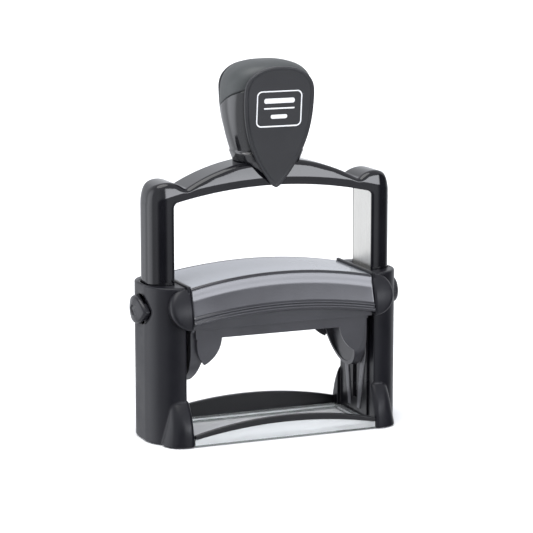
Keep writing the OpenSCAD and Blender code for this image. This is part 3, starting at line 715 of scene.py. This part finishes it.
def trim_mesh(name, sgn, hole):
    xs = np.concatenate([[-37.45], np.linspace(-37.3, 37.3, 121), [37.45]])
    if hole:
        xs = np.unique(np.concatenate([xs, [-35.72, 35.72]]))
    rows = []
    for x in xs:
        zt, zb = float(top_z(x)), float(bot_z(x))
        end = 0.12 if abs(x) > 37.4 else 0.0
        pts = []

        def add(depth, z):            # depth outwards from the inner face
            pts.append((x, sgn * (ty(z) - 1.0 + depth), z))
        # outer side from the bottom up, rounded, with two beads
        add(0.15, zb + 0.0)
        add(0.75 - end, zb + 0.0)
        add(0.95 - end, zb + 0.12)
        add(1.0 - end, zb + 0.35)
        for b0 in (0.5, 2.3):
            for t in np.linspace(0, math.pi, 7):
                add(1.0 - end + 0.46 * math.sin(t), zb + b0 + 0.45 - 0.45 * math.cos(t))
        add(1.0 - end, zb + 3.6)
        # the face is a touch steeper along its upper edge
        for s in np.linspace(0.0, 1.0, 25)[1:]:
            z = zb + 3.6 + (zt - 0.6 - zb - 3.6) * s
            u = min(max((4.8 - (zt - z)) / 4.0, 0), 1)
            add(1.0 - end + 0.24 * u * u * (3 - 2 * u), z)
        for t in np.linspace(0, math.pi / 2, 6)[1:]:
            add(1.24 - end - 0.6 * (1 - math.cos(t)), zt - 0.6 + 0.6 * math.sin(t))
        add(0.12, zt)
        add(0.0, zt - 0.12)
        add(0.0, zb + 0.15)
        rows.append(pts)
    n = len(rows[0])
    V = np.array(rows).reshape(-1, 3)
    F = []
    for i in range(len(rows) - 1):
        mid = (xs[i] + xs[i + 1]) / 2
        for j in range(n):
            a, b = i * n + j, i * n + (j + 1) % n
            F.append((a, b, b + n, a + n) if sgn < 0 else (a, a + n, b + n, b))
    cap0, cap1 = tuple(range(n)), tuple(range((len(rows) - 1) * n, len(rows) * n))
    F.append(cap0[::-1] if sgn < 0 else cap0)
    F.append(cap1 if sgn < 0 else cap1[::-1])
    return new_object(name, V, F)


tf = trim_mesh("trim_front_lacquer", -1, False)
piece(tf, "housing", M["trim"], "trim_gunmetal", "trim_front")
cad("trim_rear", M["trim"])


# ------------------------------------------------------------------ springs
def coil(name, x, y, z, axis, length, rm, rw, turns, seg=36, ring=10):
    n = int(turns * seg)
    V = []
    for i in range(n + 1):
        t = i / n
        # the end turns lie flat
        e = 1.0
        u = np.interp(t * turns, [0, e, turns - e, turns], [0, 1.7 * rw * 2 / 2, length - 2 * rw - 1.7 * rw, length - 2 * rw]) + rw
        a = 2 * math.pi * t * turns
        for j in range(ring):
            b = 2 * math.pi * j / ring
            r = rm + rw * math.cos(b)
            c = (r * math.cos(a), r * math.sin(a), u + rw * math.sin(b))
            V.append((x + c[0], y + c[1], z + c[2]) if axis == 2 else (x + axis * c[2], y + c[0], z + c[1]))
    F = []
    for i in range(n):
        for j in range(ring):
            a, b = i * ring + j, i * ring + (j + 1) % ring
            F.append((a, a + ring, b + ring, b))
    F.append(tuple(range(ring)))
    F.append(tuple(range(n * ring + ring - 1, n * ring - 1, -1)))
    if axis != 1:
        F = [f[::-1] for f in F]
    return new_object(name, V, F)


for side, s in (("right", 1), ("left", -1)):
    sp = coil(f"bow_spring_{side}", s * 46.3, 0, 2.6, 2, 70.3, 2.7, 0.37, 13)
    piece(sp, "housing", M["steel"], "steel", f"return_spring_{side}")
    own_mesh(sp)
    bs = coil(f"catch_spring_{side}", s * 51.2, 0, BTN_Z, s, 2.88, 1.8, 0.14, 4, 28, 8)
    piece(bs, "housing", M["steel"], "steel", f"button_spring_{side}")
    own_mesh(bs)


# ------------------------------------------------------------------ felt and foam
def soft_block(name, lo, hi, r, amp, seed, h):
    lo, hi = np.array(lo), np.array(hi)
    c, hs = (lo + hi) / 2, (hi - lo) / 2 - amp
    rng = np.random.RandomState(seed)
    waves = [(rng.uniform(-1, 1, 3) * rng.uniform(1.5, 5.0), rng.uniform(0, 6.28)) for _ in range(14)]

    def f(p):
        d = np.abs(p - c) - (hs - r)
        s = np.linalg.norm(np.maximum(d, 0), axis=1) + np.minimum(d.max(1), 0) - r
        w = sum(np.sin(p @ k_ + ph) for k_, ph in waves) / 14
        return s + amp * 0.9 * w
    return solid(name, f, lo - 2 * h, hi + 2 * h, h, 3)


NW = NODES["ink_felt"]
b0, b1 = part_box("ink_felt")
felt = soft_block("ink_felt_pad", np.array(b0) * 1000 + 0.02, np.array(b1) * 1000 - 0.02, 0.45, 0.07, 4, 0.62)
piece(felt, "cartridge", M["felt"], "felt", "ink_felt")
b0, b1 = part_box("foam_backing")
foam = soft_block("foam_sheet", np.array(b0) * 1000 + 0.02, np.array(b1) * 1000 - 0.02, 0.30, 0.05, 9, 0.48)
piece(foam, "holder", M["foam"], "foam", "foam_backing")

# ------------------------------------------------------------------ CAD nodes that stay
for n_ in ("cam_plate_left", "cam_plate_right"):
    cad(n_, M["cam"], 0.25)
for n_ in ("pad_housing", "pad_tray"):
    cad(n_, M["holder"], 0.2)
cad("die_carrier", M["holder"], 0.25)
cad("base_front_rail", M["base"], 0.3)
cad("base_rear_bar", M["base"], 0.3)
cad("base_window", M["window"])
cad("beam_top_cover", M["cover"], 0.25)
for n_ in ("guide_bush_left", "guide_bush_right"):
    cad(n_, M["tower"], 0.12)
cad("rubber_feet", M["rubber"], 0.2)
cad("bow_core", M["core"])
cad("text_rubber", M["stamp_rubber"], 0.08)
for n_ in ("housing_screws", "guide_rod_left", "guide_rod_right", "knob_screw", "spring_seats", "pivot_pins", "lock_bolt_left", "lock_bolt_right"):
    cad(n_, M["steel"], 0.12)
for n_ in ("pivot_bearing_left", "pivot_bearing_right"):
    cad(n_, M["brass"], 0.1)

# ------------------------------------------------------------------ floor, light
me = bpy.data.meshes.new("floor")
S = 6.0
me.from_pydata([(-S, -S, 0), (S, -S, 0), (S, S, 0), (-S, S, 0)], [], [(0, 1, 2, 3)])
floor = bpy.data.objects.new("floor", me)
scene.collection.objects.link(floor)
mat, k = material("floor_white", (0.93, 0.945, 0.965), 0.9, spec=0.0)
k.link(k.mix(k.noise(6.0, 3), (0.945, 0.950, 0.955), (0.955, 0.955, 0.955)), k.bsdf.inputs["Base Color"])
floor.data.materials.append(mat)
floor.visible_glossy = False


ld = bpy.data.lights.new("sun_soft", "SUN")
ld.energy = 2.2
ld.angle = math.radians(55)
ld.color = (1.0, 0.995, 0.985)
sun = bpy.data.objects.new("sun_soft", ld)
scene.collection.objects.link(sun)
sun.rotation_mode = "QUATERNION"
sun.rotation_quaternion = Vector((0.22, 0.16, -1)).to_track_quat("-Z", "Y")

world = bpy.data.worlds.new("studio")
scene.world = world
world.use_nodes = True
wn = world.node_tree
bg = next(x for x in wn.nodes if x.type == "BACKGROUND")
tc = wn.nodes.new("ShaderNodeTexCoord")


def wmath(op, a, b=None):
    n_ = wn.nodes.new("ShaderNodeMath")
    n_.operation = op
    for s_, x_ in zip(n_.inputs, (a, b)):
        if x_ is None:
            continue
        if isinstance(x_, (int, float)):
            s_.default_value = x_
        else:
            wn.links.new(x_, s_)
    return n_.outputs[0]


def lobe(direction, full, none):
    """1 within `full` degrees of a direction, 0 beyond `none`."""
    d = Vector(direction).normalized()
    dot = wn.nodes.new("ShaderNodeVectorMath")
    dot.operation = "DOT_PRODUCT"
    dot.inputs[1].default_value = d
    wn.links.new(tc.outputs["Generated"], dot.inputs[0])
    mr = wn.nodes.new("ShaderNodeMapRange")
    mr.interpolation_type = "SMOOTHSTEP"
    mr.inputs["From Min"].default_value = math.cos(math.radians(none))
    mr.inputs["From Max"].default_value = math.cos(math.radians(full))
    wn.links.new(dot.outputs["Value"], mr.inputs["Value"])
    return mr.outputs["Result"]


total = wmath("ADD", 0.95, 0.0)
for d_, full, none, gain in (
    ((-0.29, -0.94, -0.18), 12, 34, -0.85),       # the dark side behind the camera
    ((0.93, -0.33, -0.12), 22, 46, -0.85),        # the dark side on the right
):
    total = wmath("ADD", total, wmath("MULTIPLY", lobe(d_, full, none), gain))
total = wmath("MAXIMUM", total, 0.04)
# softbox at the front right, a band between two heights
sep = wn.nodes.new("ShaderNodeSeparateXYZ")
wn.links.new(tc.outputs["Generated"], sep.inputs[0])


def step(v0, v1):
    mr = wn.nodes.new("ShaderNodeMapRange")
    mr.interpolation_type = "SMOOTHSTEP"
    mr.inputs["From Min"].default_value = v0
    mr.inputs["From Max"].default_value = v1
    wn.links.new(sep.outputs["Z"], mr.inputs["Value"])
    return mr.outputs["Result"]


total = wmath("ADD", total, wmath("MULTIPLY", lobe((-0.92, 0.32, -0.05), 12, 38), 1.5))
band = wmath("MULTIPLY", step(0.13, 0.20), wmath("SUBTRACT", 1.0, step(0.296, 0.334)))
band = wmath("MULTIPLY", band, lobe((0.39, -0.89, 0.23), 18, 30))
total = wmath("ADD", total, wmath("MULTIPLY", band, 8.5))
bg.inputs["Color"].default_value = (0.93, 0.95, 1.0, 1)
wn.links.new(total, bg.inputs["Strength"])
